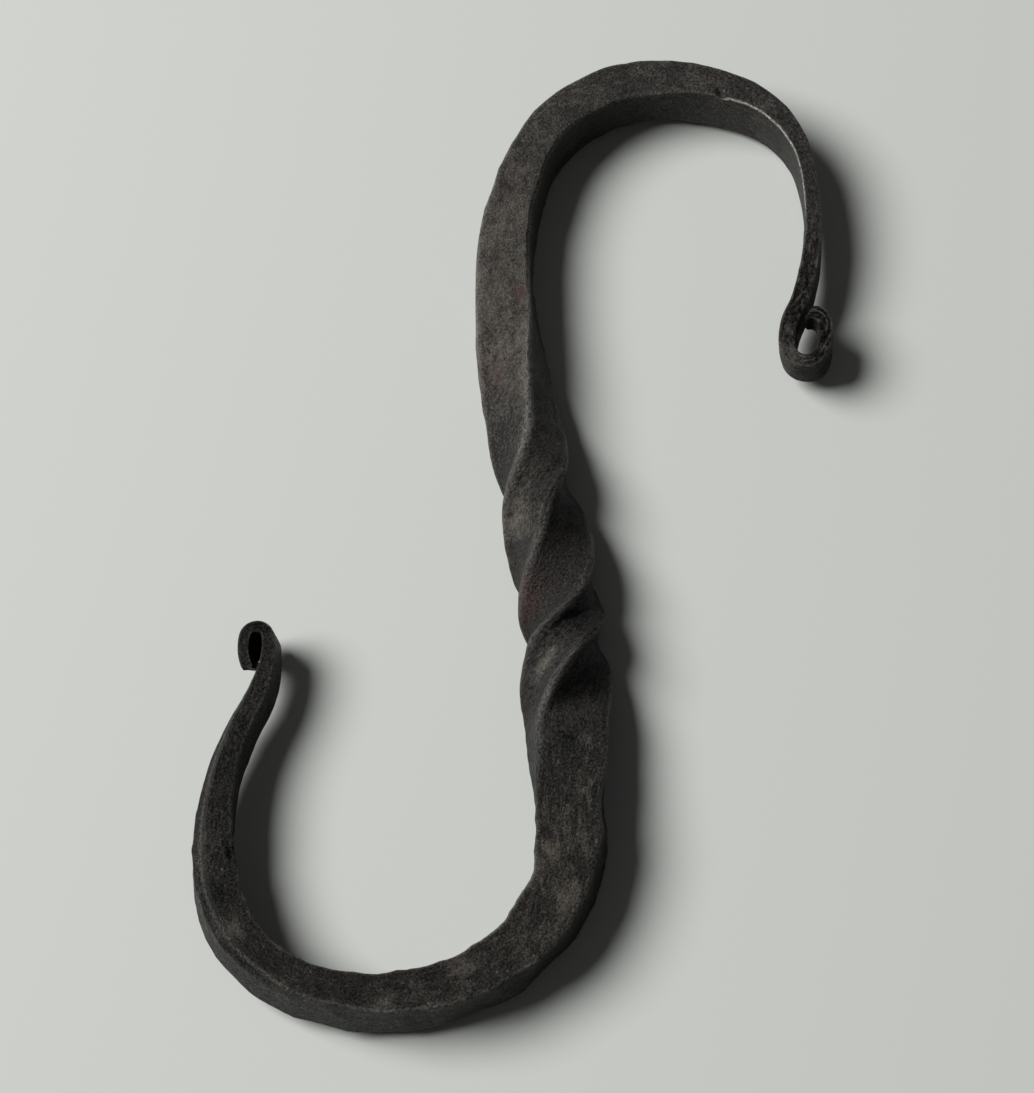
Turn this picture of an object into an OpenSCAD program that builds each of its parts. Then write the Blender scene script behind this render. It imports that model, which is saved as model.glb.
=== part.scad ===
// S hook hand forged from one length of square bar.
// The shank carries a full twist. Each end is drawn to a taper, bent round to a hook and rolled
// into a small scroll that curls away from the hook's mouth.
// The hook lies flat: X runs across it, Y along the shank towards the upper hook, Z is its depth.

/* [Bar] */
// Breadth of the bar at the middle of the shank, in the plane of the hooks
bar_w = 7.7; // [5.5:0.1:8.5]
// Depth of the bar at the middle of the shank, square to that plane
bar_d = 6.6; // [5:0.1:8]
// Rounding on the corners of the twisted stretch
twist_corner = 1.8; // [0.4:0.1:2.4]
// Rounding that the hammer left on the corners of the hooks
hook_corner = 0.9; // [0.3:0.1:1.6]

/* [Twist] */
// Whole and half turns in the twist
twist_turns = 1; // [0:0.5:2.5]
// Where the twist starts, above the middle of the shank
twist_above = 28; // [15:0.5:36]
// Where the twist ends, below the middle of the shank
twist_below = 27; // [15:0.5:36]

/* [Upper hook line] */
// Straight half of the shank
upper_shank = 11; // [5:0.1:30]
// Radius of the slow curve that leads off the shank
upper_lead_r = 150; // [60:1:300]
// Turn of that curve, in degrees
upper_lead_a = 7; // [1:0.1:12]
// Radius of the shoulder
upper_shoulder_r = 34.5; // [20:0.1:60]
// Turn of the shoulder
upper_shoulder_a = 26; // [10:0.1:40]
// Radius of the bend from the shoulder to the crown
upper_crown_r = 14.5; // [10:0.1:24]
// Turn of that bend
upper_crown_a = 69; // [40:0.1:75]
// Radius of the flatter stretch past the crown
upper_flat_r = 20.5; // [12:0.1:30]
// Turn of that stretch
upper_flat_a = 29; // [20:0.1:55]
// Radius of the nose, where the line turns down to the point
upper_nose_r = 12; // [9:0.1:24]
// Turn of the nose
upper_nose_a = 47; // [40:0.1:75]
// Radius of the thin leg down to the scroll
upper_leg_r = 29.5; // [20:0.1:60]
// Turn of that leg
upper_leg_a = 36.5; // [10:0.1:40]

/* [Upper scroll line] */
// Radius where the leg turns back into the scroll
upper_neck_r = 8; // [4:0.1:9]
// Turn of the neck
upper_neck_a = 27; // [20:0.1:45]
// Radius round the bottom of the scroll
upper_eye_r = 1.75; // [1.5:0.05:3]
// Turn round the bottom
upper_eye_a = 154; // [120:0.5:170]
// Radius up the far side of the scroll
upper_side_r = 5.7; // [4:0.1:12]
// Turn up the far side
upper_side_a = 35; // [20:0.1:45]
// Radius of the last curl
upper_tip_r = 1; // [0.9:0.05:1.8]
// Turn of the last curl
upper_tip_a = 90; // [60:0.5:120]

/* [Lower hook line] */
// Straight half of the shank
lower_shank = 1; // [1:0.1:20]
// Radius of the slow curve that leads off the shank
lower_lead_r = 60; // [40:1:200]
// Turn of that curve, in degrees
lower_lead_a = 9; // [1:0.1:14]
// Straight stretch between that curve and the shoulder
lower_run = 19; // [5:0.1:25]
// Radius of the shoulder
lower_shoulder_r = 15; // [10:0.1:26]
// Turn of the shoulder
lower_shoulder_a = 61.1; // [45:0.1:80]
// Radius of the flatter stretch along the bottom
lower_flat_r = 21.3; // [14:0.1:35]
// Turn of that stretch
lower_flat_a = 54.1; // [30:0.1:60]
// Radius of the nose, where the line turns up to the point
lower_nose_r = 13.8; // [9:0.1:24]
// Turn of the nose
lower_nose_a = 54; // [40:0.1:75]
// Radius of the leg up to the scroll
lower_leg_r = 25; // [18:0.1:50]
// Turn of that leg
lower_leg_a = 43.5; // [20:0.1:50]

/* [Lower scroll line] */
// Radius where the leg turns back into the scroll
lower_neck_r = 11.8; // [5:0.1:16]
// Turn of the neck
lower_neck_a = 37.3; // [15:0.1:45]
// Radius round the top of the scroll
lower_eye_r = 1.15; // [1:0.05:2.4]
// Turn round the top
lower_eye_a = 160.5; // [130:0.5:175]
// Radius of the last curl
lower_tip_r = 5.2; // [4:0.1:9]
// Turn of the last curl
lower_tip_a = 42.9; // [10:0.1:50]

/* [Breadth along the upper hook] */
// Breadth at the end of the lead curve
upper_lead_w = 5.7; // [4:0.1:8]
// Breadth at the end of the shoulder
upper_shoulder_w = 4.6; // [3:0.1:7]
// Breadth at the end of the crown bend
upper_crown_w = 4.4; // [2.5:0.1:6]
// Breadth at the end of the flatter stretch
upper_flat_w = 3; // [1.5:0.1:5]
// Breadth at the end of the nose, where the strip is thinnest
upper_nose_w = 1.6; // [1.2:0.1:3]
// Breadth at the end of the leg
upper_leg_w = 2.05; // [1.2:0.05:3]
// Breadth of the strip round the eye of the scroll
upper_eye_w = 1.45; // [1:0.05:1.8]
// Breadth at the point
upper_tip_w = 1.5; // [0.8:0.05:1.7]

/* [Breadth along the lower hook] */
// Breadth at the end of the lead curve, where the hammer spread the bar
lower_lead_w = 8.4; // [5:0.1:9]
// Breadth at the start of the shoulder
lower_run_w = 6.4; // [4:0.1:8]
// Breadth at the end of the shoulder
lower_shoulder_w = 4.8; // [3:0.1:7]
// Breadth at the end of the flatter stretch
lower_flat_w = 3.4; // [3:0.1:7]
// Breadth at the end of the nose
lower_nose_w = 4.4; // [2:0.1:5]
// Breadth at the end of the leg
lower_leg_w = 2.35; // [1.2:0.05:3.5]
// Breadth of the strip round the eye of the scroll
lower_eye_w = 1.1; // [0.8:0.05:1.6]
// Breadth at the point
lower_tip_w = 0.9; // [0.7:0.05:1.5]

/* [Fit of the scrolls] */
// Least gap between a scroll's curl and the leg it rolls back towards
scroll_gap = 0.25; // [0.1:0.05:1]

/* [Depth] */
// Depth of both hooks once they were hammered level
hook_d = 6; // [4.5:0.1:7]
// Depth at the upper nose, where the thin strip spread
upper_nose_d = 6.8; // [4.5:0.1:7]
// Depth of the upper scroll
upper_scroll_d = 4.6; // [3:0.1:6]
// Depth of the lower scroll
lower_scroll_d = 4.4; // [3:0.1:6]
// Lean of the lower hook's open leg, top edge towards the mouth, in degrees
lower_leg_lean = 15; // [0:1:25]

/* [Hidden] */

// How far apart the cross sections stand along the bar, along the scrolls and in the twist
STEP = 1.3;
SCROLL_STEP = 0.32;
TWIST_STEP = 0.65;
// Facets round each corner of the cross section
CORNER_STEPS = 4;
// Half the stretch over which a change of section is eased
EASE = 4;
// The rings that round off a cut end, as angles from its last cross section
END_ANGLES = [22, 44, 62];
// The twist is uneven, as it was quickest where the bar was hottest:
// [share of the stretch from its upper end, share of the turn]
TWIST_SHARE = [
    [0, 0], [0.16, 0.07], [0.29, 0.1], [0.42, 0.28],
    [0.56, 0.38], [0.69, 0.69], [0.82, 0.9], [1, 1]
];

// A stretch of the line is [length, turn in degrees, step]; a turn above 0 is anticlockwise.
function straight(length, step) = [length, 0, step];
function bend(radius, turn, step) = [radius * abs(turn) * PI / 180, turn, step];

UPPER_LINE = [
    straight(upper_shank, TWIST_STEP),
    bend(upper_lead_r, -upper_lead_a, TWIST_STEP),
    bend(upper_shoulder_r, -upper_shoulder_a, STEP),
    bend(upper_crown_r, -upper_crown_a, STEP),
    bend(upper_flat_r, -upper_flat_a, STEP),
    bend(upper_nose_r, -upper_nose_a, STEP),
    bend(upper_leg_r, -upper_leg_a, STEP),
    bend(upper_neck_r, upper_neck_a, SCROLL_STEP),
    bend(upper_eye_r, upper_eye_a, SCROLL_STEP),
    bend(upper_side_r, upper_side_a, SCROLL_STEP),
    bend(upper_tip_r, upper_tip_a, SCROLL_STEP)
];
LOWER_LINE = [
    straight(lower_shank, TWIST_STEP),
    bend(lower_lead_r, -lower_lead_a, TWIST_STEP),
    straight(lower_run, TWIST_STEP),
    bend(lower_shoulder_r, -lower_shoulder_a, STEP),
    bend(lower_flat_r, -lower_flat_a, STEP),
    bend(lower_nose_r, -lower_nose_a, STEP),
    bend(lower_leg_r, -lower_leg_a, STEP),
    bend(lower_neck_r, lower_neck_a, SCROLL_STEP),
    bend(lower_eye_r, lower_eye_a, SCROLL_STEP),
    bend(lower_tip_r, lower_tip_a, SCROLL_STEP)
];

// Distance along a line to the end of its first n stretches.
function reach(line, n) = n == 0 ? 0 : line[n - 1][0] + reach(line, n - 1);

// The place on an arc: [distance, x, y, heading], from one such place at its start.
function on_arc(from, length, turn) =
    let (h = from[3], r = turn == 0 ? 0 : length * 180 / (turn * PI))
    turn == 0
        ? [from[0] + length, from[1] + length * cos(h), from[2] + length * sin(h), h]
        : [
            from[0] + length,
            from[1] + r * (sin(h + turn) - sin(h)),
            from[2] + r * (cos(h) - cos(h + turn)),
            h + turn
        ];

// Both lines start at the middle of the shank and head up it: [distance, x, y, heading].
START = [0, 0, 0, 90];

// All the places along a line, one cross section at each.
function places(line, from, i = 0) =
    i == len(line) ? [] :
    let (
        n = ceil(line[i][0] / line[i][2]),
        here = [for (k = [1:n]) on_arc(from, line[i][0] * k / n, line[i][1] * k / n)]
    )
    concat(here, places(line, here[n - 1], i + 1));

// A table read at x, with its corners eased.
function eased(x, table) =
    let (at = [for (k = [-3:3]) lookup(x + k * EASE / 3, table)])
    at * [for (k = [-3:3]) 1] / 7;

UPPER_W = [
    [0, bar_w],
    [reach(UPPER_LINE, 2), upper_lead_w],
    [reach(UPPER_LINE, 3), upper_shoulder_w],
    [reach(UPPER_LINE, 4), upper_crown_w],
    [reach(UPPER_LINE, 5), upper_flat_w],
    [reach(UPPER_LINE, 6), upper_nose_w],
    [reach(UPPER_LINE, 7), upper_leg_w],
    [reach(UPPER_LINE, 8), upper_eye_w],
    [reach(UPPER_LINE, 9), upper_eye_w],
    [reach(UPPER_LINE, 11), upper_tip_w]
];
UPPER_D = [
    [0, bar_d],
    [reach(UPPER_LINE, 2), hook_d],
    [reach(UPPER_LINE, 4), hook_d],
    [reach(UPPER_LINE, 5), upper_nose_d],
    [reach(UPPER_LINE, 6), upper_nose_d],
    [reach(UPPER_LINE, 7), upper_scroll_d]
];
LOWER_W = [
    [0, bar_w],
    [reach(LOWER_LINE, 2), lower_lead_w],
    [reach(LOWER_LINE, 3), lower_run_w],
    [reach(LOWER_LINE, 4), lower_shoulder_w],
    [reach(LOWER_LINE, 5), lower_flat_w],
    [reach(LOWER_LINE, 6), lower_nose_w],
    [reach(LOWER_LINE, 7), lower_leg_w],
    [reach(LOWER_LINE, 8), lower_eye_w],
    [reach(LOWER_LINE, 9), lower_eye_w],
    [reach(LOWER_LINE, 10), lower_tip_w]
];
LOWER_D = [
    [0, bar_d],
    [reach(LOWER_LINE, 2), hook_d],
    [reach(LOWER_LINE, 6), hook_d],
    [reach(LOWER_LINE, 7), lower_scroll_d]
];
LOWER_LEAN = [
    [reach(LOWER_LINE, 4), 0],
    [reach(LOWER_LINE, 5), lower_leg_lean],
    [reach(LOWER_LINE, 6), lower_leg_lean],
    [reach(LOWER_LINE, 7), 0]
];

// Turn of the section about the line, s measured from the middle of the shank towards the top.
function twist_at(s) =
    let (share = (twist_above - s) / (twist_above + twist_below), soft = EASE / (twist_above + twist_below))
    360 * twist_turns * [for (k = [-3:3]) lookup(share + k * soft / 3, TWIST_SHARE)] * [for (k = [-3:3]) 1] / 7;

// The corners are rounder in the twist than in the hooks.
function corner_at(s) =
    lookup(s, [
        [-twist_below, hook_corner],
        [-twist_below / 2, twist_corner],
        [twist_above / 2, twist_corner],
        [twist_above, hook_corner]
    ]);

// Cross section w by d with its corners rounded, as points across and up.
function section(w, d, r) =
    let (q = min(r, 0.42 * w, 0.42 * d), a = w / 2 - q, b = d / 2 - q)
    [
        for (side = [[1, 1, 0], [-1, 1, 90], [-1, -1, 180], [1, -1, 270]])
            for (k = [0:CORNER_STEPS])
                let (t = side[2] + 90 * k / CORNER_STEPS)
                [side[0] * a + q * cos(t), side[1] * b + q * sin(t)]
    ];

// One cross section set up across the line: at = [x, y, heading], roll about the line.
function ring(at, w, d, r, roll) = [
    for (q = section(w, d, r))
        let (across = q[0] * cos(roll) - q[1] * sin(roll), up = q[0] * sin(roll) + q[1] * cos(roll))
        [at[0] + across * sin(at[2]), at[1] - across * cos(at[2]), up]
];

// The gap between the strip at place p and the leg, which is the run of places up to the scroll.
function gap_to_leg(p, leg, w_table) =
    let (
        away = [for (q = leg) norm([p[1] - q[1], p[2] - q[2]])],
        q = leg[search(min(away), away)[0]],
        aside = abs((p[1] - q[1]) * sin(q[3]) - (p[2] - q[2]) * cos(q[3]))
    )
    aside - (eased(p[0], w_table) + eased(q[0], w_table)) / 2;

// A line's places, with the last curl stopped where it would come nearer to the leg than scroll_gap.
// The leg ends with the line's stretch leg_end, and the curl starts after its stretch eye_end.
function rolled(line, leg_end, eye_end, w_table) =
    let (
        all = concat([START], places(line, START)),
        leg = [for (p = all) if (p[0] <= reach(line, leg_end)) p],
        too_near = [
            for (p = all)
                if (p[0] > reach(line, eye_end) && gap_to_leg(p, leg, w_table) < scroll_gap) p[0]
        ],
        stop = min(concat([reach(line, len(line)) + 1], too_near))
    )
    [for (p = all) if (p[0] < stop) p];

UPPER = rolled(UPPER_LINE, 8, 9, UPPER_W);
LOWER = rolled(LOWER_LINE, 8, 9, LOWER_W);

function upper_ring(p) =
    ring([p[1], p[2], p[3]], eased(p[0], UPPER_W), eased(p[0], UPPER_D), corner_at(p[0]), twist_at(p[0]));

// The lower hook's line is walked as the upper's and then given half a turn.
function lower_ring(p) =
    ring(
        [-p[1], -p[2], p[3]],
        eased(p[0], LOWER_W),
        eased(p[0], LOWER_D),
        corner_at(-p[0]),
        twist_at(-p[0]) + eased(p[0], LOWER_LEAN)
    );

// The bar's rounded end: smaller and smaller rings past its last cross section.
function end_rings(last, ahead) =
    let (c = [for (q = last) 1 / len(last)] * last)
    [for (t = END_ANGLES) [for (q = last) c + cos(t) * (q - c) + sin(t) * ahead]];

function heading_vector(h) = [cos(h), sin(h), 0];

// The solid through a run of equal-sized rings, closed at both ends.
module loft(rings) {
    m = len(rings[0]);
    last = len(rings) - 1;
    walls = [
        for (i = [0:last - 1])
            for (j = [0:m - 1])
                let (k = (j + 1) % m, a = i * m + j, b = i * m + k, c = a + m, d = b + m)
                each [[a, b, c], [b, d, c]]
    ];
    polyhedron(
        points = [for (r = rings) each r],
        faces = concat(
            walls,
            [[for (j = [m - 1:-1:0]) j]],
            [[for (j = [0:m - 1]) last * m + j]]
        ),
        convexity = 12
    );
}

// How far to move a run of rings so that it lies on Z = 0 with its outline centred on the origin.
function onto_bench(rings) =
    let (
        x = [for (r = rings) each r * [1, 0, 0]],
        y = [for (r = rings) each r * [0, 1, 0]],
        z = [for (r = rings) each r * [0, 0, 1]]
    )
    [-(min(x) + max(x)) / 2, -(min(y) + max(y)) / 2, -min(z)];

module s_hook() {
    top_end = UPPER[len(UPPER) - 1];
    low_end = LOWER[len(LOWER) - 1];
    upper_rings = [for (p = UPPER) upper_ring(p)];
    lower_rings = [for (i = [len(LOWER) - 1:-1:1]) lower_ring(LOWER[i])];
    low_point = end_rings(lower_rings[0], -0.4 * lower_tip_w * heading_vector(low_end[3]));
    top_point = end_rings(upper_rings[len(upper_rings) - 1], 0.4 * upper_tip_w * heading_vector(top_end[3]));
    rings = concat(
        [for (i = [len(low_point) - 1:-1:0]) low_point[i]],
        lower_rings,
        upper_rings,
        top_point
    );
    color([0.16, 0.15, 0.15])
        translate(onto_bench(rings))
            loft(rings);
}

s_hook();
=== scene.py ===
# %% [markdown]
# # A hand-forged S hook
# The CAD model gives the hook its size and its line. Here it gets the surface that a fire and a hammer
# leave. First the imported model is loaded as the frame, and its box is kept, because nothing that is
# made here may stand outside it.

# %% Load the frame
import math

import bmesh
import bpy
import numpy as np
from mathutils import Matrix, Vector, noise


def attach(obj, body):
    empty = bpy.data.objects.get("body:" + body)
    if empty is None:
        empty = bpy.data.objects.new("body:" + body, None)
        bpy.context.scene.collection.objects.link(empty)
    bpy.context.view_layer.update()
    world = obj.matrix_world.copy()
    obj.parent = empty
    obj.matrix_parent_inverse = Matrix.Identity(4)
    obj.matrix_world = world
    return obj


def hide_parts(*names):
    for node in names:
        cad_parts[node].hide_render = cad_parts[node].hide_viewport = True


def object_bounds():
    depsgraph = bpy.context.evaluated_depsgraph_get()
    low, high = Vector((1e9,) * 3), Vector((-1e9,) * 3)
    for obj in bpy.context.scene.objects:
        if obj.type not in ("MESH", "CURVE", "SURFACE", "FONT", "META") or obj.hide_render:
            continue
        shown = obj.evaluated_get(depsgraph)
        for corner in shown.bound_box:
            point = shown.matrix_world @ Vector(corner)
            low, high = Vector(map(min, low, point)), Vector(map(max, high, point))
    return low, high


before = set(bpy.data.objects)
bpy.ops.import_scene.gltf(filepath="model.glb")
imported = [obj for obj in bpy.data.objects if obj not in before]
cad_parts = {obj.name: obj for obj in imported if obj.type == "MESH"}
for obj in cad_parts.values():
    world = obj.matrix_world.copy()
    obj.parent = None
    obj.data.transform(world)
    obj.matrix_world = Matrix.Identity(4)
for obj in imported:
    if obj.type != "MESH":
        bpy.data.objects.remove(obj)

MM = 0.001
cad_low, cad_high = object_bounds()
cad_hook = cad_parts["s_hook"]
print("CAD box in mm:", [round(v / MM, 1) for v in (*cad_low, *cad_high)])

# %% [markdown]
# ## Take the bar back out of the model
# A smith sees an S hook as a straight bar that was twisted and bent. To mark such a bar, each point of
# the skin has to know how far along the bar it is and where on the cross section. The CAD solid was
# lofted through rings of points, so the rings can be peeled off its mesh one by one, from the lower
# point to the upper one. A remesh would be quicker to write, but it would lose that order and close the
# narrow gaps of the scrolls.

# %% Peel the rings
def end_cap(bm):
    """The points of the flat cap at the bar's lower point, which fan out from one of them."""
    hubs = [v for v in bm.verts if len(v.link_faces) > 12]
    hub = min(hubs, key=lambda v: v.co.y)
    normals = [f.normal.copy() for f in hub.link_faces]
    axis = max(normals, key=lambda n: sum(n.dot(m) > 0.99999 for m in normals))
    flat = [f for f in hub.link_faces if f.normal.dot(axis) > 0.99999]
    return list({v for f in flat for v in f.verts})


def in_order(points, ahead):
    """Points round the bar, anticlockwise as seen from behind, from the right-hand side up."""
    centre = sum((v.co for v in points), Vector()) / len(points)
    right = (ahead - centre).cross(Vector((0, 0, 1))).normalized()
    turn = [math.atan2(v.co.z - centre.z, (v.co - centre).dot(right)) % math.tau for v in points]
    return [v for _, v in sorted(zip(turn, points), key=lambda pair: pair[0])]


def next_ring(ring, past):
    """The ring ahead. Each point leads to two of its points, and the nearer pairing is straight ahead."""
    ahead = [{e.other_vert(v) for e in v.link_edges} - past for v in ring]
    if not all(ahead):
        return None
    count = len(ring)
    pairings = []
    for step in (1, -1):
        shared = [ahead[i] & ahead[(i + step) % count] for i in range(count)]
        if all(len(s) == 1 for s in shared):
            pairings.append([s.pop() for s in shared])
    return min(pairings, key=lambda q: sum((a.co - b.co).length for a, b in zip(ring, q)))


def peel(mesh):
    """All the rings of the bar, as an array of rings by points by 3."""
    bm = bmesh.new()
    bm.from_mesh(mesh)
    bmesh.ops.remove_doubles(bm, verts=bm.verts, dist=0.002 * MM)
    bm.normal_update()
    cap = end_cap(bm)
    beyond = {e.other_vert(v) for v in cap for e in v.link_edges} - set(cap)
    ahead = sum((v.co for v in beyond), Vector()) / len(beyond)
    ring = in_order(cap, ahead)
    rings, past = [], set()
    while ring:
        past |= set(ring)
        rings.append([tuple(v.co) for v in ring])
        ring = next_ring(ring, past)
    bm.free()
    return np.array(rings)


rings = peel(cad_hook.data)
print("rings:", rings.shape[0], "of", rings.shape[1], "points")

# %% [markdown]
# ## Read the bar's own measures
# Each ring gives its centre, the way the bar heads there, its breadth, its depth, the rounding of its
# corners and how far the twist has rolled it. These few numbers for each place are the whole shape, and
# the fine mesh is built from them.

# %% Measure the bar
PER_CORNER = rings.shape[1] // 4
UP = np.array([0.0, 0.0, 1.0])


def unit(v):
    """The same directions, each one unit long."""
    return v / np.linalg.norm(v, axis=-1, keepdims=True)


centre = rings.mean(axis=1)
corners = rings.reshape(len(rings), 4, PER_CORNER, 3).mean(axis=2)
side_way = unit(corners[:, 0] + corners[:, 3] - corners[:, 1] - corners[:, 2])
face_way = unit(corners[:, 0] + corners[:, 1] - corners[:, 2] - corners[:, 3])
travel = unit(np.cross(face_way, side_way))
heading = np.unwrap(np.arctan2(travel[:, 1], travel[:, 0]))
right = np.stack([np.sin(heading), -np.cos(heading), 0 * heading], axis=1)
roll = np.unwrap(np.arctan2(side_way @ UP, (side_way * right).sum(1)))
first, last = rings[:, 0] - centre, rings[:, PER_CORNER - 1] - centre
half_w = (first * side_way).sum(1)
half_d = (last * face_way).sum(1)
corner_r = half_w - (last * side_way).sum(1)
along = np.r_[0, np.cumsum(np.linalg.norm(np.diff(centre, axis=0), axis=1))]
LENGTH = along[-1]
SHANK_MIDDLE = along[np.argmin(np.abs(centre[:, 1]) + 1e3 * (np.abs(centre[:, 0]) > 8 * MM))]
print(f"bar {LENGTH / MM:.1f} mm long, {2 * half_w.max() / MM:.2f} mm at its broadest,",
      f"twist {math.degrees(roll.max() - roll.min()):.0f} degrees, middle at {SHANK_MIDDLE / MM:.1f} mm")

# %% [markdown]
# ## Lay a fine skin over the bar
# The CAD rings stand up to 1.3 mm apart, which is too coarse for hammer marks. Between them the centre
# line is carried along as a curve that leaves every ring square to it, and the other measures are eased
# from ring to ring. The few rings at each end only round the ends off, so they are left out.

# %% Between the rings
SKIN_STEP = 0.235 * MM
CAP_RINGS = 3

body = slice(CAP_RINGS, -CAP_RINGS)
knots = along[body]
at = np.linspace(knots[0], knots[-1], math.ceil((knots[-1] - knots[0]) / SKIN_STEP) + 1)


def between(values, slopes, places=at):
    """The values carried from ring to ring with the given slopes, read at all the fine places."""
    i = np.clip(np.searchsorted(knots, places, side="right") - 1, 0, len(knots) - 2)
    gap = knots[i + 1] - knots[i]
    t = (places - knots[i]) / gap
    if values.ndim == 2:
        gap, t = gap[:, None], t[:, None]
    near_part = (2 * t**3 - 3 * t**2 + 1) * values[i] + (t**3 - 2 * t**2 + t) * gap * slopes[i]
    far_part = (3 * t**2 - 2 * t**3) * values[i + 1] + (t**3 - t**2) * gap * slopes[i + 1]
    return near_part + far_part


def eased(values, places=at):
    """The values carried from ring to ring, with slopes taken from the rings themselves."""
    return between(values[body], np.gradient(values[body], knots), places)


line, bearing = between(centre[body], travel[body]), eased(heading)
w, d, corner = eased(half_w), eased(half_d), eased(corner_r)
print(len(at), "cross sections laid along the bar")

# %% [markdown]
# ## Let the twist run as it did
# The smith turned this bar while its lower part was the hottest, so the twist is tight there and slacker
# above. Its narrowest place sits 2 mm higher than in the CAD model. The roll is read from further down
# the bar there, which moves that place up.

# %% Roll of the bar
TWIST_RISE = 2.1 * MM


def ease(t):
    """0 to 1 with a soft start and a soft stop."""
    t = np.clip(t, 0, 1)
    return t * t * (3 - 2 * t)


from_middle = (at - SHANK_MIDDLE) / MM
low_twist = ease((-9.5 - from_middle) / 4.5) * ease((from_middle + 29) / 10)
turned = eased(roll, at - TWIST_RISE * low_twist)
print(f"the twist is moved up over {SKIN_STEP / MM * np.count_nonzero(low_twist):.0f} mm of the bar")

# %% [markdown]
# ## Close the two points
# Each end is closed over with a few shrinking sections, as a cut end is once its edges have been filed
# off. From here on a place along the bar is counted in millimetres from the shank's middle, and it grows
# towards the upper point.

# %% Rounded ends
END_STEPS = 5
END_ROUNDING = 0.40
MOST_ROUND = 0.9


def with_ends(values, lower, upper):
    """The same values at the sections that close the two ends, changed there by the given amounts."""
    return np.concatenate([values[0] + lower, values, values[-1] + upper])


quarter = np.linspace(0, math.pi / 2, END_STEPS + 1)[1:]
low_reach, top_reach = END_ROUNDING * w[0], END_ROUNDING * w[-1]
low_out, top_out = -low_reach * np.sin(quarter[::-1]), top_reach * np.sin(quarter)
low_in, top_in = low_reach * (1 - np.cos(quarter[::-1])), top_reach * (1 - np.cos(quarter))
still = np.zeros(END_STEPS)

ahead = np.stack([np.cos(bearing), np.sin(bearing), 0 * bearing], axis=1)
line = with_ends(line, low_out[:, None] * ahead[0], top_out[:, None] * ahead[-1])
bearing, turned = with_ends(bearing, still, still), with_ends(turned, still, still)
w, d = with_ends(w, -low_in, -top_in), with_ends(d, -low_in, -top_in)
corner = np.minimum(with_ends(corner, still, still), MOST_ROUND * w)
s = (with_ends(at, low_out, top_out) - SHANK_MIDDLE) / MM
print(len(s), "cross sections, from", round(s[0], 1), "to", round(s[-1], 1), "mm along the shank's middle")

# %% [markdown]
# ## Fit the section to the twist
# Four places are rolled on or back a few degrees, where the bar gave more or less. Twisting also drew
# the bar in and swelled it the other way, more so at the low end. The arrises are sharpest on the thin
# upper strip and roundest at the waist of the twist.

# %% Fit the twist
def near(places, spot, reach):
    """1 at a spot, falling off smoothly to both sides over about the given reach."""
    return np.exp(-(((places - spot) / reach) ** 2))


def along_bar(stops):
    """A value given at some places along the bar, and carried in straight lines between them."""
    return np.interp(s, list(stops), list(stops.values()))


twisted = along_bar({-27: 0, -17: 1, 14: 1, 30: 0})
for spot, reach, degrees in ((-1, 4.5, 16), (-7, 4.0, 15), (-12.5, 1.7, -6), (-22.5, 2.5, 9)):
    turned = turned + np.radians(degrees) * near(s, spot, reach)
w = w + MM * along_bar({-27: 0, -19: -0.10, -12: -0.32, -6: -0.10, 2: 0})
d = d + MM * along_bar({-27: 0, -19: 0.36, -14: 0.45, -8: 0.33, 2: 0.06, 12: 0})
corner = corner * along_bar({
    -104: 0.55, -94: 0.6, -27: 0.6, -17: 0.75, -12: 1.0, -6: 0.75,
    14: 0.75, 30: 0.6, 62: 0.6, 70: 0.4, 86: 0.4, 92: 0.55,
})
print(f"roundest arris {corner.max() / MM:.2f} mm, twist now {math.degrees(np.ptp(turned)):.0f} degrees")

# %% [markdown]
# ## Give each cross section its points
# A point is kept by where it is in the straight bar: how far along, how far across and how far up. All
# the marks are made there, before the twist and the bends are put back, so that a hammer blow or a
# streak of scale follows the bar as it does on the real thing.

# %% Points round the section
FLAT_STEPS, SIDE_STEPS, CORNER_STEPS = 16, 18, 4


def round_section():
    """For each point round the section: which corner it hangs from, its angle there, and how far it has
    gone from that corner to the next one."""
    rows = []
    for c, steps in enumerate((FLAT_STEPS, SIDE_STEPS, FLAT_STEPS, SIDE_STEPS)):
        rows += [(c, 90 * c + 90 * k / CORNER_STEPS, 0.0) for k in range(CORNER_STEPS + 1)]
        rows += [(c, 90 * c + 90, k / steps) for k in range(1, steps)]
    return np.array(rows)


def lay_section(w, d, corner):
    """The points of every section, across and up from its middle."""
    c, angle, gone = round_section().T
    c = c.astype(int)
    sign_x, sign_y = np.array([1, -1, -1, 1]), np.array([1, 1, -1, -1])
    a, b, q = w[:, None] - corner[:, None], d[:, None] - corner[:, None], corner[:, None]
    x0, y0, x1, y1 = sign_x[c] * a, sign_y[c] * b, sign_x[(c + 1) % 4] * a, sign_y[(c + 1) % 4] * b
    nx, ny = np.cos(np.radians(angle)), np.sin(np.radians(angle))
    return x0 + (x1 - x0) * gone + q * nx, y0 + (y1 - y0) * gone + q * ny, nx, ny


x, y, nx, ny = lay_section(w, d, corner)
ROUND = x.shape[1]
S = np.repeat(s[:, None], ROUND, axis=1)
X, Y = x / MM, y / MM
half_x, half_y = w[:, None] / MM, d[:, None] / MM
print(x.size, "points,", ROUND, "round the bar")

# %% [markdown]
# ## Hammer it
# A smith's blows leave flats a few millimetres long that overlap, so the outline of a forged bend is
# never a true curve. Each blow is a very shallow bowl with a small tilt of its own. Where two of them
# meet the deeper one wins, which leaves the faint ridge between them. The sides are struck over the
# edge of the anvil and get the shorter flats, and the broad faces get longer and shallower ones. The
# lower hook was struck hardest. In the twist the faces go hollow, as the arrises there are stretched.

# %% Hammer blows
RIDGE = 0.008
CROSS_BOW = 80
TILT = 0.030
HOLLOW = 0.26

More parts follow.
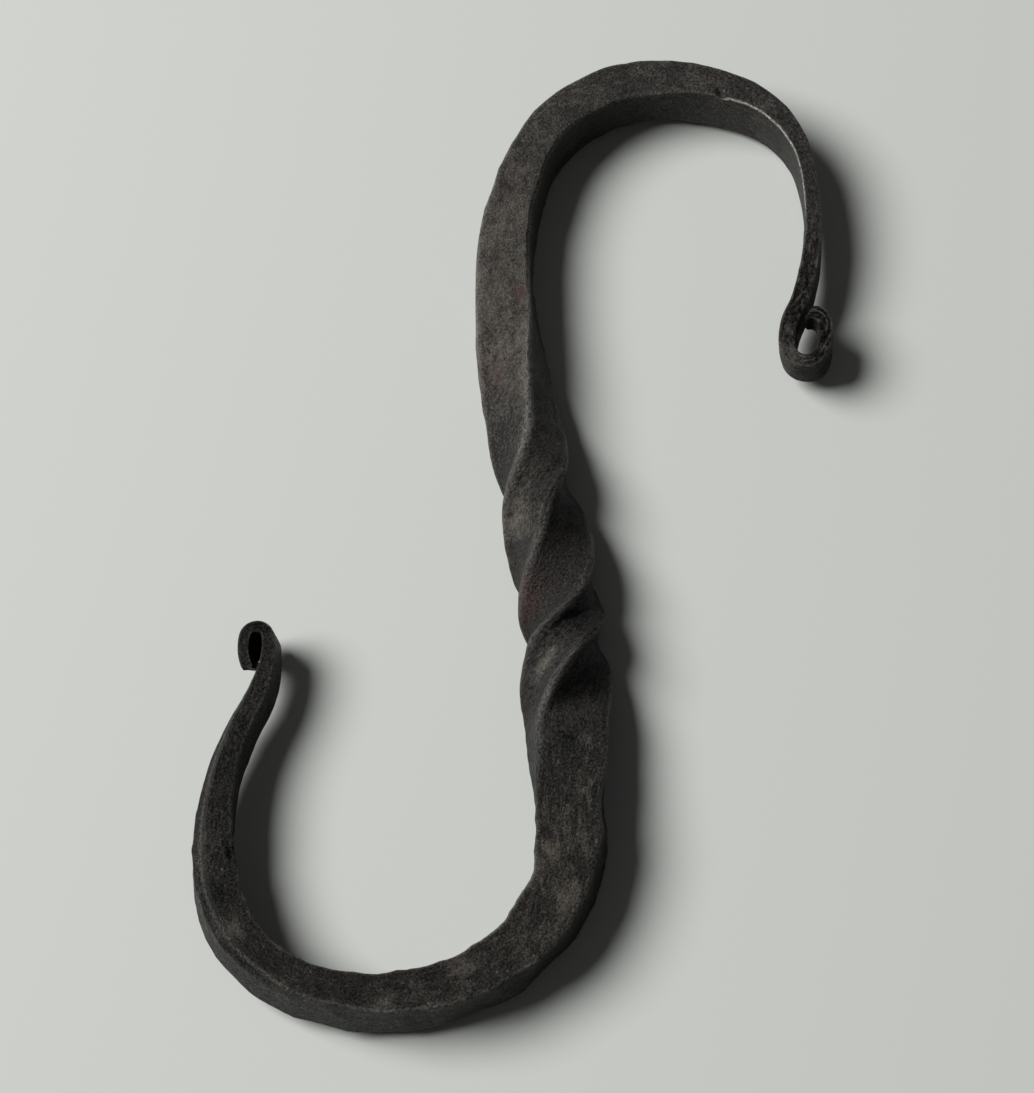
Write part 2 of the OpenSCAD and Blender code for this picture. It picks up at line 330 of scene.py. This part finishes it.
rng = np.random.default_rng(7)
stout = np.clip(np.minimum(half_x, half_y) / 2.6, 0.22, 1)
lower_hook = np.clip((-26 - s) / 8, 0, 1) * np.clip((s + 92) / 10, 0, 1)
heavy = 1 + 0.7 * lower_hook[:, None]


def hammered(across, reach, spacing, depth, bow):
    """How deep a face was struck, in mm, at all points. across runs over the face, up to reach."""
    struck = np.full(S.shape, -1.0)
    spot = S.min() - spacing
    while spot < S.max() + spacing:
        spot += spacing * rng.uniform(0.65, 1.35)
        side = rng.uniform(-0.6, 0.6)
        tilt_along, tilt_over = rng.normal(0, TILT, 2)
        run, over = S - spot, across - side * reach
        close = np.abs(run[:, 0]) < 4 * spacing
        run, over = run[close], over[close]
        bowl = rng.uniform(0.5, 1.0) * depth - run**2 / (2 * bow) - over**2 / (2 * CROSS_BOW)
        bowl -= tilt_along * run + tilt_over * over
        struck[close] = RIDGE * np.logaddexp(struck[close] / RIDGE, bowl / RIDGE)
    return heavy * stout * (np.clip(struck, -0.05, 0.4) - 0.5 * depth)


top_cut, under_cut = (hammered(X, half_x, spacing=3.4, depth=0.08, bow=34) for _ in range(2))
right_cut, left_cut = (hammered(Y, half_y, spacing=2.9, depth=0.11, bow=17) for _ in range(2))
hollow = HOLLOW * twisted[:, None]
top_cut, under_cut = (cut + hollow * (1 - (X / half_x) ** 2) for cut in (top_cut, under_cut))
right_cut, left_cut = (cut + hollow * (1 - (Y / half_y) ** 2) for cut in (right_cut, left_cut))
struck_x = X + left_cut * (half_x - X) / (2 * half_x) - right_cut * (half_x + X) / (2 * half_x)
struck_y = Y + under_cut * (half_y - Y) / (2 * half_y) - top_cut * (half_y + Y) / (2 * half_y)
print(f"deepest blow {max(top_cut.max(), left_cut.max(), right_cut.max()):.2f} mm")

# %% [markdown]
# ## Let the scale bite
# Black scale grows on hot iron, cracks and is beaten back in, which leaves a fine crust of lumps, pits
# and torn flakes. The deeper relief is put into the mesh, so that it shows on the outline and in every
# light. It is coarsest on the straight length below the twist, which sat longest in the fire, less so
# round the lower hook, and fine elsewhere.

# %% Scale relief
def crust(size, seed):
    """Blender's own noise over the straight bar, about -1 to 1. size is (along, across, up) in mm."""
    points = np.stack([S / size[0], X / size[1], Y / size[2]], axis=-1).reshape(-1, 3) + 17.3 * seed
    return np.array([noise.noise(p) for p in points.tolist()]).reshape(S.shape)


def stretch(low, high, soft):
    """1 between two places along the bar, falling off to 0 over soft mm."""
    return ease(np.minimum((s - low) / soft, (high - s) / soft) + 0.5)[:, None]


BEFORE, PAST = -130, 130
burnt = np.maximum(stretch(-48, -20, 10), 0.6 * stretch(BEFORE, -14, 8))
lumps = crust((1.0, 0.9, 0.9), 1)
grit = crust((0.55, 0.5, 0.5), 2)
sway = crust((7, 5, 5), 3)
flakes = np.clip(crust((2.4, 1.7, 1.7), 4) * 6 + 0.5, 0, 1)
fine = np.clip(half_x / 2.5, 0.35, 1)
relief = (0.030 + 0.035 * burnt) * lumps + (0.018 + 0.014 * burnt) * grit + 0.03 * sway
relief = fine * (relief - 0.022 * flakes)
scaly_x, scaly_y = struck_x + relief * nx, struck_y + relief * ny
print(f"relief from {relief.min():.2f} to {relief.max():.2f} mm")

# %% [markdown]
# ## Give the scrolls their own form
# Neither scroll is as even as the CAD one. The lower one is swelled at the foot of its outer side, and
# the foot of the upper one's inner wall leans back. Both points taper from below while their tops stay
# level. The bar's right side is the inner one on the upper hook and the outer one on the lower hook.

# %% Scrolls and points
right_share, left_share = 1 + X / half_x, 1 - X / half_x
upper_scroll = 0.08 * stretch(97, 102, 3) + 0.06 * stretch(109, PAST, 2)
leaning = 0.25 * stretch(98.5, 104.5, 2) * np.clip(-Y / half_y, 0, 1) * np.clip(right_share, 0, 1)
lower_scroll = 0.10 * stretch(-105, -99, 3) * right_share - 0.06 * stretch(BEFORE, -111, 4) * left_share
swell = 0.62 * stretch(-119, -104, 5) * near(Y, -1.3, 1.5) * np.clip(X / half_x, 0, 1)
scaly_x = scaly_x + upper_scroll * right_share - leaning + lower_scroll + swell
taper = 0.72 * ease((-112.8 - s) / 3.4) + 0.40 * ease((s - 107.5) / 3.5)
scaly_y = half_y - (half_y - scaly_y) * (1 - taper[:, None])
print(f"the lower scroll is swelled by up to {swell.max():.2f} mm")

# %% [markdown]
# ## The marks of this one bar
# Some marks are too large to leave to chance. The outer top edge of the lower hook's open leg was
# dressed to a flat bevel, and its inner edge has a notch and a fine line beside it. The upper hook has
# a nick in its inner edge where the strip begins to thin, and a cold line across its crown. The face
# above the twist has two cracks in its scale.

# %% Bevel, nicks and cracks
def bevel(x, y, side, low, high, soft, set_in, angle):
    """Cuts a corner back to a flat. side is (1 or -1, 1 or -1), the corner's own signs."""
    cos, sin = math.cos(math.radians(angle)), math.sin(math.radians(angle))
    reach = side[0] * x * cos + side[1] * y * sin
    edge = half_x * cos + half_y * sin - set_in * np.clip(half_x / 1.8, 0.3, 1)
    over = np.clip(reach - edge, 0, None) * stretch(low, high, soft)
    return x - side[0] * over * cos, y - side[1] * over * sin


def nick(low_x, high_x, spot, width, depth, slant=0.0):
    """A cut across the top face between two places across it. Returns how deep it is at each point."""
    run = S - slant * X
    inside = np.clip((X - low_x) / 0.3, 0, 1) * np.clip((high_x - X) / 0.3, 0, 1)
    return depth * near(run, spot, width) * inside * (ny > 0.3)


LEFT_EDGE, RIGHT_EDGE = -9, 9
marked_x, marked_y = bevel(scaly_x, scaly_y, (1, 1), low=-101, high=-70, soft=12, set_in=0.95, angle=40)
nose_nick = nick(0.3, RIGHT_EDGE, 65.9, width=0.6, depth=0.55, slant=0.5)
crown_line = nick(LEFT_EDGE, RIGHT_EDGE, 56.3, width=0.35, depth=0.10, slant=0.15)
leg_notch = nick(LEFT_EDGE, -1.1, -85.4, width=1.3, depth=0.45)
leg_line = nick(LEFT_EDGE, RIGHT_EDGE, -82.2, width=0.3, depth=0.08, slant=-0.2)
long_crack = nick(-2.0, 1.4, 17.0, width=0.20, depth=0.12, slant=0.9)
short_crack = nick(-2.6, -0.4, 11.2, width=0.20, depth=0.10, slant=-0.3)
marks = nose_nick + crown_line + leg_notch + leg_line + long_crack + short_crack
marked_y = marked_y - marks
print(f"deepest mark {marks.max():.2f} mm")

# %% [markdown]
# ## Bend the bar back
# Every point goes back to its cross section, which is rolled by the twist and set up across the line.
# The twisted length was tapped a little flatter once it was done, and it stands out to the right at its
# low end. Both points were cut askew. Last, the whole skin is let down until it rests on the bench.

# %% Bend it
TAPPED = 0.075
stands_out = MM * (0.30 * near(s, -15.5, 3.2) + 0.07 * near(s, 2, 6))
low_point = 0.70 * np.clip((-114.8 - s) / 1.8, 0, 1) ** 2
top_point = np.clip((s - 109.2) / 1.6, 0, 1) ** 2


def bent(x, y):
    """Points of the straight bar, taken to where the twist and the bends put them, in metres."""
    roll_cos, roll_sin = np.cos(turned)[:, None], np.sin(turned)[:, None]
    across, up = (x * roll_cos - y * roll_sin) * MM, (x * roll_sin + y * roll_cos) * MM
    across, up = across + stands_out[:, None], up * (1 - TAPPED * twisted[:, None])
    askew = low_point[:, None] * (1 - 0.6 * x / half_x) + top_point[:, None] * (0.38 - 0.28 * x / half_x)
    ahead_x, ahead_y = np.cos(bearing)[:, None], np.sin(bearing)[:, None]
    return np.stack([
        line[:, :1] + across * ahead_y + askew * MM * ahead_x,
        line[:, 1:2] - across * ahead_x + askew * MM * ahead_y,
        line[:, 2:] + up,
    ], axis=-1)


skin = bent(marked_x, marked_y)
skin[..., 2] += cad_low[2] - skin[..., 2].min()
skin = np.clip(skin, np.array(cad_low), np.array(cad_high))
print(f"top of the skin at {skin[..., 2].max() / MM:.2f} mm")

# %% [markdown]
# ## Make it one closed mesh
# The sections are joined by quads, and each end gets a fan of triangles round its middle. Each point
# keeps its place in the straight bar, which the material reads.

# %% Build the mesh
def skin_faces(rows, count):
    """Quads between neighbouring sections, and a fan of triangles over each end."""
    i, j = np.meshgrid(np.arange(rows - 1), np.arange(count), indexing="ij")
    k = (j + 1) % count
    quads = np.stack([i * count + j, (i + 1) * count + j, (i + 1) * count + k, i * count + k], axis=-1)
    quads = quads.reshape(-1, 4).tolist()
    low_tip, top_tip = rows * count, rows * count + 1
    low = [(low_tip, j, (j + 1) % count) for j in range(count)]
    top = [(top_tip, (rows - 1) * count + (j + 1) % count, (rows - 1) * count + j) for j in range(count)]
    return quads + low + top


def keep(name, values):
    """Stores one number for each point of the skin, and 0 for the middle of each end."""
    layer = mesh.attributes.new(name, "FLOAT", "POINT")
    values = np.broadcast_to(values, S.shape).reshape(-1)
    layer.data.foreach_set("value", np.append(values, [0, 0]).astype(np.float32))


tips = np.stack([skin[0].mean(axis=0), skin[-1].mean(axis=0)])
points = np.concatenate([skin.reshape(-1, 3), tips])
mesh = bpy.data.meshes.new("s_hook_forged")
mesh.from_pydata(points.tolist(), [], skin_faces(len(s), ROUND))
mesh.update()
mesh.shade_smooth()
hook = bpy.data.objects.new("s_hook_forged", mesh)
bpy.context.scene.collection.objects.link(hook)

bar_place = mesh.attributes.new("bar_place", "FLOAT_VECTOR", "POINT")
straight = np.concatenate([np.stack([S, X, Y], axis=-1).reshape(-1, 3), [[s[0], 0, 0], [s[-1], 0, 0]]])
bar_place.data.foreach_set("vector", straight.astype(np.float32).reshape(-1))
print(len(mesh.polygons), "faces on the forged skin")

# %% [markdown]
# ## Where it has been rubbed bright
# The thin strip at the upper nose was filed or rubbed along its inner top edge until bare metal shows.
# The other edges that hands reach are only a little brighter, as are the ridges of the twist and the low
# side of the upper scroll.

# %% Wear
def patch(spot, across, size):
    """A soft round patch right through the bar, at its strongest at one place along and across it."""
    return near(S, spot, size) * near(X, across, 0.8 * size)


def dab(spot, across, size):
    """A soft round patch on the top face alone."""
    return patch(spot, across, size) * np.clip(3 * ny, 0, 1)


corner_arc = near(np.abs(nx), 0.7, 0.26) * (np.abs(ny) > 0.05)
inner_top = corner_arc * (X > 0) * (Y > 0)
ridge = twisted[:, None] * ease((np.minimum(np.abs(X) / half_x, np.abs(Y) / half_y) - 0.62) / 0.3)
filed_nose = 1.3 * stretch(67.5, 85, 4) * inner_top**2
every_edge = 0.16 * corner_arc * (1 - stretch(-20, 18, 6)) + 0.16 * ridge
shank_edge = 0.22 * stretch(6, 27, 5) * inner_top
bend_edge = 0.22 * stretch(-52, -36, 5) * corner_arc * (X < 0)
wear = filed_nose + every_edge + shank_edge + bend_edge + 0.30 * dab(102.3, -0.1, 1.5)
keep("wear", wear)
print(f"rubbed on {100 * np.mean(wear > 0.5):.1f} % of the skin")

# %% [markdown]
# ## Painted shade, and where it was brushed
# The faces turned away from the lamp get painted shade. The iron there is made darker and duller than the
# lamp's own shade makes it, and its scale pattern is made fainter. The scrolls were brushed hardest. The
# face that the twist turns up from below gets painted shade too.

# %% Painted shade and brushing
TOWARDS_THE_LAMP = np.array([-0.58, 0.26, 0.77])
left_side, right_side, under_side = nx < -0.5, nx > 0.5, ny < -0.5

normals = np.zeros(3 * len(mesh.vertices))
mesh.vertices.foreach_get("normal", normals)
facing = (normals.reshape(-1, 3)[:-2] @ TOWARDS_THE_LAMP).reshape(S.shape)
painted_shade_edge = along_bar({-26: 0.35, -22: 0.6, -14: 0.6, -9: 0.3, -4: 0.3, 2: 0.15, 12: 0.15, 20: 0.35})
painted_shade_along = along_bar({
    -72: 0, -56: 0.25, -48: 0.5, -40: 0.8, -26: 0.8, -20: 1, -13: 1,
    2: 0.9, 8: 0.8, 50: 0.6, 60: 0, 92: 0, 94: 0.8,
})
# Painted shade: darker, duller iron on the faces turned away from the lamp.
painted_shade = painted_shade_along[:, None] * ease((painted_shade_edge[:, None] - facing) / 0.4)
# Painted shade on the face that the twist turns up from below.
painted_shade = np.maximum(painted_shade, under_side * near(S, -0.2, 3.6))
# The scale's pattern is made fainter where the shade is painted.
crust_and_shade_fade = (0.55 + 0.25 * stretch(BEFORE, -24, 8) + 0.7 * stretch(90, PAST, 6)) * (1 - 0.4 * painted_shade)
brushed = np.maximum(stretch(88, PAST, 8), 0.12 * stretch(BEFORE, -20, 9)) * np.clip(ny + 0.2, 0, 1)
for name, values in (("painted_shade", painted_shade), ("crust_and_shade_fade", crust_and_shade_fade), ("brushed", brushed)):
    keep(name, values)
print(f"soot on {100 * np.mean(painted_shade > 0.5):.0f} % of the skin")

# %% [markdown]
# ## Pale and dark places
# The tone is set place by place along the bar: palest on the upper shank and darkest at the twist and the
# points. It has light dabs where a flake sprang off and dark ones where the crust is thick, and painted
# shade in the notch of the lower leg and the nick of the upper nose. On the twist a bright spot is a
# painted highlight, and the face that the twist turns up from below gets painted shade. Its other faces are
# made paler or darker in places. Painted shade also darkens the faces turned away from the lamp.

# %% Tones
pale = along_bar({
    -117: 0.58, -110: 0.34, -102: 0.36, -92: 0.50, -66: 0.51, -56: 0.56, -34: 0.63,
    -27: 0.52, -20: 0.44, -8: 0.46, 4: 0.52, 9: 0.50, 15: 0.74, 24: 0.80,
    34: 0.76, 45: 0.63, 60: 0.60, 75: 0.56, 98: 0.42, 106: 0.38, 111: 0.14,
})[:, None]
# Light flake dabs and dark crust dabs. The dark dabs at -85.4 and 66.2 are painted shade in the lower leg's
# notch and the upper nose's nick.
for spot, across, size, strength in (
    (-76.9, 0.3, 1.2, 0.35), (-60.2, 1.4, 1.2, 0.30), (-52.4, -0.8, 1.3, 0.35),
    (-40.3, 1.2, 1.3, 0.30), (-36.5, -1.45, 1.2, 0.30), (-25.2, 1.2, 1.2, 0.30),
    (-85.4, -2.0, 1.4, -0.25), (-80.9, 0.2, 1.2, -0.25), (-25.3, -0.3, 1.0, -0.30), (66.2, 1.9, 0.9, -0.35),
):
    pale = pale + strength * dab(spot, across, size)
# Painted highlight: a bright spot on a face of the twist.
pale = pale + 0.45 * near(S, -16.6, 1.6) * near(Y, -0.2, 1.1) * left_side
pale = pale - (0.25 * near(S, -11.8, 1.8) + 0.08 * stretch(-34, -20, 4)) * left_side
pale = pale + (0.20 * near(S, -0.2, 2.0) * near(Y, 0.4, 1.3) + 0.18 * patch(-1.5, 3.5, 1.8)) * right_side
pale = pale + 0.16 * near(S, 6, 4) * np.clip(nx, 0, 1) * np.clip((Y + 1) / 2, 0, 1)
# Painted shade on the face that the twist turns up from below.
pale = pale - 0.25 * near(S, 0.5, 3.0) * under_side
# Painted shade darkens the faces turned away from the lamp, and the ridges of the twist are paler.
pale = pale - 0.28 * painted_shade + 0.1 * ridge
keep("pale", pale)
print(f"tone from {pale.min():.2f} to {pale.max():.2f}")

# %% [markdown]
# ## The first rust
# Rust has begun to stain the left side of the twist, and two small spots on the shank above it.

# %% Rust
rust = 0.85 * patch(-9.8, 3.0, 2.8) * (Y < 1) + 1.3 * dab(24.3, 1.9, 1.0) + 0.5 * dab(16, -1.2, 2.0)
keep("rust", rust)
print(f"rust on {100 * np.mean(rust > 0.3):.1f} % of the skin")

# %% [markdown]
# ## A kit for the material
# The black of the iron is built from many small nodes. These short functions each add one, so that the
# cells after them read like a recipe.

# %% Nodes
def srgb(red, green, blue):
    """A colour as a painter would give it, 0 to 255, turned into light."""
    return tuple(((v / 255 + 0.055) / 1.055) ** 2.4 for v in (red, green, blue)) + (1,)


iron = bpy.data.materials.new("black_forge_scale")
iron.use_nodes = True
tree = iron.node_tree
tree.nodes.clear()


def add(kind, sockets=(), **settings):
    """A node with its settings, and its sockets set to a value or joined to another node's output."""
    node = tree.nodes.new(kind)
    for key, value in settings.items():
        setattr(node, key, value)
    for key, value in dict(sockets).items():
        if isinstance(value, bpy.types.NodeSocket):
            tree.links.new(value, node.inputs[key])
        else:
            node.inputs[key].default_value = value
    return node


def attribute(name):
    """Reads what was kept on the skin under this name."""
    return add("ShaderNodeAttribute", attribute_name=name, attribute_type="GEOMETRY")


def math_node(operation, a, b=0.0, c=0.0, clamp=False):
    """One sum. a, b and c are numbers or other nodes' outputs."""
    return add("ShaderNodeMath", {0: a, 1: b, 2: c}, operation=operation, use_clamp=clamp).outputs[0]


def mix_colours(share, a, b):
    """Colour a, which gives way to colour b as the share goes from 0 to 1."""
    node = add("ShaderNodeMix", {0: share}, data_type="RGBA")
    for key, value in ((6, a), (7, b)):
        if isinstance(value, bpy.types.NodeSocket):
            tree.links.new(value, node.inputs[key])
        else:
            node.inputs[key].default_value = value
    return node.outputs[2]


def cloud(vector, scale, detail, rough=0.6):
    """Noise from 0 to 1, in lumps about 1 / scale mm across."""
    sockets = {"Vector": vector, "Scale": scale, "Detail": detail, "Roughness": rough}
    return add("ShaderNodeTexNoise", sockets).outputs["Fac"]


def drawn_out(vector, share):
    """The same places, with the length along the bar shortened, which draws a pattern out along it."""
    node = add("ShaderNodeVectorMath", {0: vector, 1: (share, 1, 1)}, operation="MULTIPLY")
    return node.outputs[0]


def ramp(share, stops):
    """Colours laid out over 0 to 1."""
    node = add("ShaderNodeValToRGB", {0: share})
    marks = node.color_ramp.elements
    while len(marks) < len(stops):
        marks.new(0.5)
    for mark, (where, colour) in zip(marks, stops):
        mark.position, mark.color = where, colour
    return node.outputs[0]


def band(share, low, high):
    """0 below low, 1 above high."""
    sockets = {"Value": share, "From Min": low, "From Max": high}
    return add("ShaderNodeMapRange", sockets, interpolation_type="SMOOTHSTEP").outputs[0]


print("an empty material, named", iron.name)

# %% [markdown]
# ## Black forge scale
# The scale is a dark, slightly brown oxide, and its grain runs along the bar. The first nodes read the
# straight bar's own millimetres, so that every pattern follows the twist and the bends. The brush left
# its strokes along the bar as well, and they are longer than the grain.

# %% Patterns
in_bar = attribute("bar_place").outputs["Vector"]
along_grain = drawn_out(in_bar, 0.6)
strokes = cloud(drawn_out(in_bar, 0.3), 3.4, 4, 0.62)
patches = cloud(in_bar, 0.26, 3, 0.55)
mottle = cloud(along_grain, 1.3, 4, 0.65)
speckle = cloud(in_bar, 4.0, 4, 0.7)
grain = cloud(along_grain, 8.0, 3, 0.65)
plates = add("ShaderNodeTexVoronoi", {"Vector": along_grain, "Scale": 2.1, "Randomness": 1.0})
plate_tone = add("ShaderNodeSeparateColor", {0: plates.outputs["Color"]}).outputs[0]
print(len(tree.nodes), "nodes read the bar and lay out its patterns")

# %% [markdown]
# ## The colour of the scale
# Cloudy patches lie where the scale is thicker. Over them come a mottle, plates about half a millimetre
# across, a fine grain, and pale flecks where a flake came off. They add up to one tone, which picks the
# grey. Their middle is taken off, so that they only swing round the tone that each place was given.
# Rust, brushed streaks and rubbed metal are mixed in last.

# %% Scale colour
flecks = band(cloud(in_bar, 2.2, 3, 0.55), 0.62, 0.72)
swings = ((patches, 0.75), (mottle, 0.7), (speckle, 1.0), (grain, 0.8), (plate_tone, 0.24))
tone = math_node("MULTIPLY_ADD", flecks, 0.45, -0.5 * sum(share for _, share in swings))
for part, share in swings:
    tone = math_node("MULTIPLY_ADD", part, share, tone)
crust_and_shade_fade_here, pale_here = attribute("crust_and_shade_fade").outputs["Fac"], attribute("pale").outputs["Fac"]
# pale carries painted highlight and painted shade along with the scale's own tone.
tone = math_node("MULTIPLY_ADD", tone, crust_and_shade_fade_here, pale_here)
scale_colour = ramp(tone, [
    (0.00, srgb(7, 7, 9)),
    (0.30, srgb(20, 19, 19)),
    (0.60, srgb(45, 43, 40)),
    (1.00, srgb(102, 97, 89)),
])
hue = cloud(in_bar, 0.9, 2, 0.6)
warm = math_node("MULTIPLY", band(hue, 0.52, 0.66), 0.5)
tinted = mix_colours(warm, scale_colour, srgb(44, 36, 32))
stain = math_node("MULTIPLY", attribute("rust").outputs["Fac"], band(speckle, 0.35, 0.60), clamp=True)
rusty = mix_colours(stain, tinted, srgb(72, 46, 44))
brushed_here = attribute("brushed").outputs["Fac"]
glints = math_node("MULTIPLY", band(strokes, 0.48, 0.72), 0.34)
glints = math_node("MULTIPLY", glints, brushed_here)
rubbed = band(speckle, 0.30, 0.60)
rubbed = math_node("MULTIPLY_ADD", attribute("wear").outputs["Fac"], rubbed, glints, clamp=True)
colour = mix_colours(rubbed, rusty, srgb(192, 188, 180))
print(len(tree.nodes), "nodes with the colour")

# %% [markdown]
# ## How it catches the light
# The same patterns drive the shine and the finest bumps, because a crystal that is smooth is also the
# one that glints. Painted shade takes the shine away from the faces turned from the lamp, and rubbed iron
# is a little smoother than the scale.

# %% Shine and bumps
rough = math_node("MULTIPLY_ADD", speckle, 0.50, 0.26)
rough = math_node("MULTIPLY_ADD", brushed_here, -0.12, rough)
rough = math_node("MULTIPLY_ADD", rubbed, -0.18, rough, clamp=True)

# Painted shade: the faces turned away from the lamp lose most of their shine.
out_of_painted_shade = math_node("MULTIPLY_ADD", attribute("painted_shade").outputs["Fac"], -0.75, 1.0)
shine = band(math_node("MULTIPLY_ADD", grain, 0.5, speckle), 0.62, 0.92)
shine = math_node("MULTIPLY", math_node("MULTIPLY_ADD", shine, 0.85, 0.12), out_of_painted_shade)

height = math_node("MULTIPLY", mottle, 0.5)
for part, share in ((speckle, 0.9), (grain, 0.4), (plates.outputs["Distance"], -0.25)):
    height = math_node("MULTIPLY_ADD", part, share, height)
height = math_node("MULTIPLY", height, math_node("MULTIPLY_ADD", crust_and_shade_fade_here, 4.0, -1.5))
bumps = add("ShaderNodeBump", {"Strength": 1.0, "Distance": 0.3 * MM, "Height": height})
shader = add("ShaderNodeBsdfPrincipled", {
    "Base Color": colour,
    "Roughness": rough,
    "Metallic": rubbed,
    "IOR": 1.36,
    "Specular IOR Level": shine,
    "Normal": bumps.outputs[0],
})
add("ShaderNodeOutputMaterial", {"Surface": shader.outputs[0]})
mesh.materials.append(iron)

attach(hook, "root")
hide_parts("s_hook")
print(len(tree.nodes), "nodes in all, on a hook of", len(mesh.vertices), "points")

# %% [markdown]
# ## A pale bench to lie it on
# The hook can't stand, so it lies as it would come to rest, on the corners of its twist and with its
# hooks just clear, and is looked down on. The bench is plain and pale, which keeps the dark outline
# clear.

# %% Floor
BENCH_SIZE = 4
HAIR = 0.02 * MM

paper = bpy.data.materials.new("pale_bench")
paper.use_nodes = True
paper_shader = paper.node_tree.nodes["Principled BSDF"]
paper_shader.inputs["Base Color"].default_value = srgb(208, 211, 206)
paper_shader.inputs["Roughness"].default_value = 0.95
paper_shader.inputs["Specular IOR Level"].default_value = 0.1
bpy.ops.mesh.primitive_plane_add(size=BENCH_SIZE, location=(0, 0, cad_low[2] - HAIR))
floor = bpy.context.object
floor.name = "bench"
floor.data.materials.append(paper)
print(f"bench at {floor.location.z / MM:.2f} mm")

# %% [markdown]
# ## Light it
# One soft lamp stands high on the upper left. It gives each flat its own grey and throws a short, soft
# shadow to the right, which shows how far the bar stands off the bench. A dim even sky fills the rest.
# The lamp's power is worked out so that lamp and sky together light the bench with a strength of 1,
# and it shows the colour it was given.

# %% Lamp and sky
LAMP_BEARING, LAMP_HEIGHT = 156, 50.5
LAMP_AWAY = 1.2
LAMP_SPREAD = 18
KEY_SHARE = 0.95


def direction(bearing, height):
    """Unit vector towards a compass bearing (0 is +X, anticlockwise) and a height over the bench."""
    b, h = math.radians(bearing), math.radians(height)
    return Vector((math.cos(h) * math.cos(b), math.cos(h) * math.sin(b), math.sin(h)))


towards_lamp = direction(LAMP_BEARING, LAMP_HEIGHT)
lamp_data = bpy.data.lights.new("soft_lamp", "AREA")
lamp_data.shape = "DISK"
lamp_data.size = 2 * LAMP_AWAY * math.tan(math.radians(LAMP_SPREAD))
lamp_data.energy = KEY_SHARE * math.pi**2 * LAMP_AWAY**2 / towards_lamp.z
lamp = bpy.data.objects.new("soft_lamp", lamp_data)
lamp.location = towards_lamp * LAMP_AWAY
lamp.rotation_euler = towards_lamp.to_track_quat("Z", "Y").to_euler()
bpy.context.scene.collection.objects.link(lamp)

world = bpy.data.worlds.new("sky")
bpy.context.scene.world = world
world.use_nodes = True
sky_nodes = world.node_tree.nodes
sky_nodes.clear()
sky = sky_nodes.new("ShaderNodeBackground")
sky.inputs["Color"].default_value = (1, 1, 1, 1)
sky.inputs["Strength"].default_value = 1 - KEY_SHARE
sky_output = sky_nodes.new("ShaderNodeOutputWorld")
world.node_tree.links.new(sky.outputs[0], sky_output.inputs[0])
bpy.context.scene.view_settings.view_transform = "Standard"
print(f"lamp of {lamp_data.energy:.1f} W, {lamp_data.size:.2f} m across")

# %% [markdown]
# ## Look at it
# The eye is 28 cm away, above the lower hook and leaning in, with the head tilted a little to the left,
# so that the inner walls of the upper arch can be seen.

# %% Camera
VIEW_BEARING, VIEW_HEIGHT, VIEW_TILT = 2.817, 67.0, 15.0
EYE_AWAY = 278.15 * MM
LENS, FILM = 88.93, 36
looked_at = Vector((-0.54, -0.97, 0.0)) * MM

back = direction(VIEW_BEARING - 90, VIEW_HEIGHT)
level = Vector((-back.y, back.x, 0)).normalized()
upright = back.cross(level)
tilt = math.radians(VIEW_TILT)
to_right = level * math.cos(tilt) - upright * math.sin(tilt)
to_top = back.cross(to_right)
camera_data = bpy.data.cameras.new("eye")
camera_data.sensor_fit = "AUTO"
camera_data.sensor_width = FILM
camera_data.lens = LENS
camera_data.clip_start = 0.005
camera = bpy.data.objects.new("eye", camera_data)
turn = Matrix((to_right, to_top, back)).transposed()
camera.matrix_world = Matrix.Translation(looked_at + back * EYE_AWAY) @ turn.to_4x4()
bpy.context.scene.collection.objects.link(camera)
bpy.context.scene.camera = camera
print("eye at", [round(v / MM) for v in camera.matrix_world.translation], "mm")
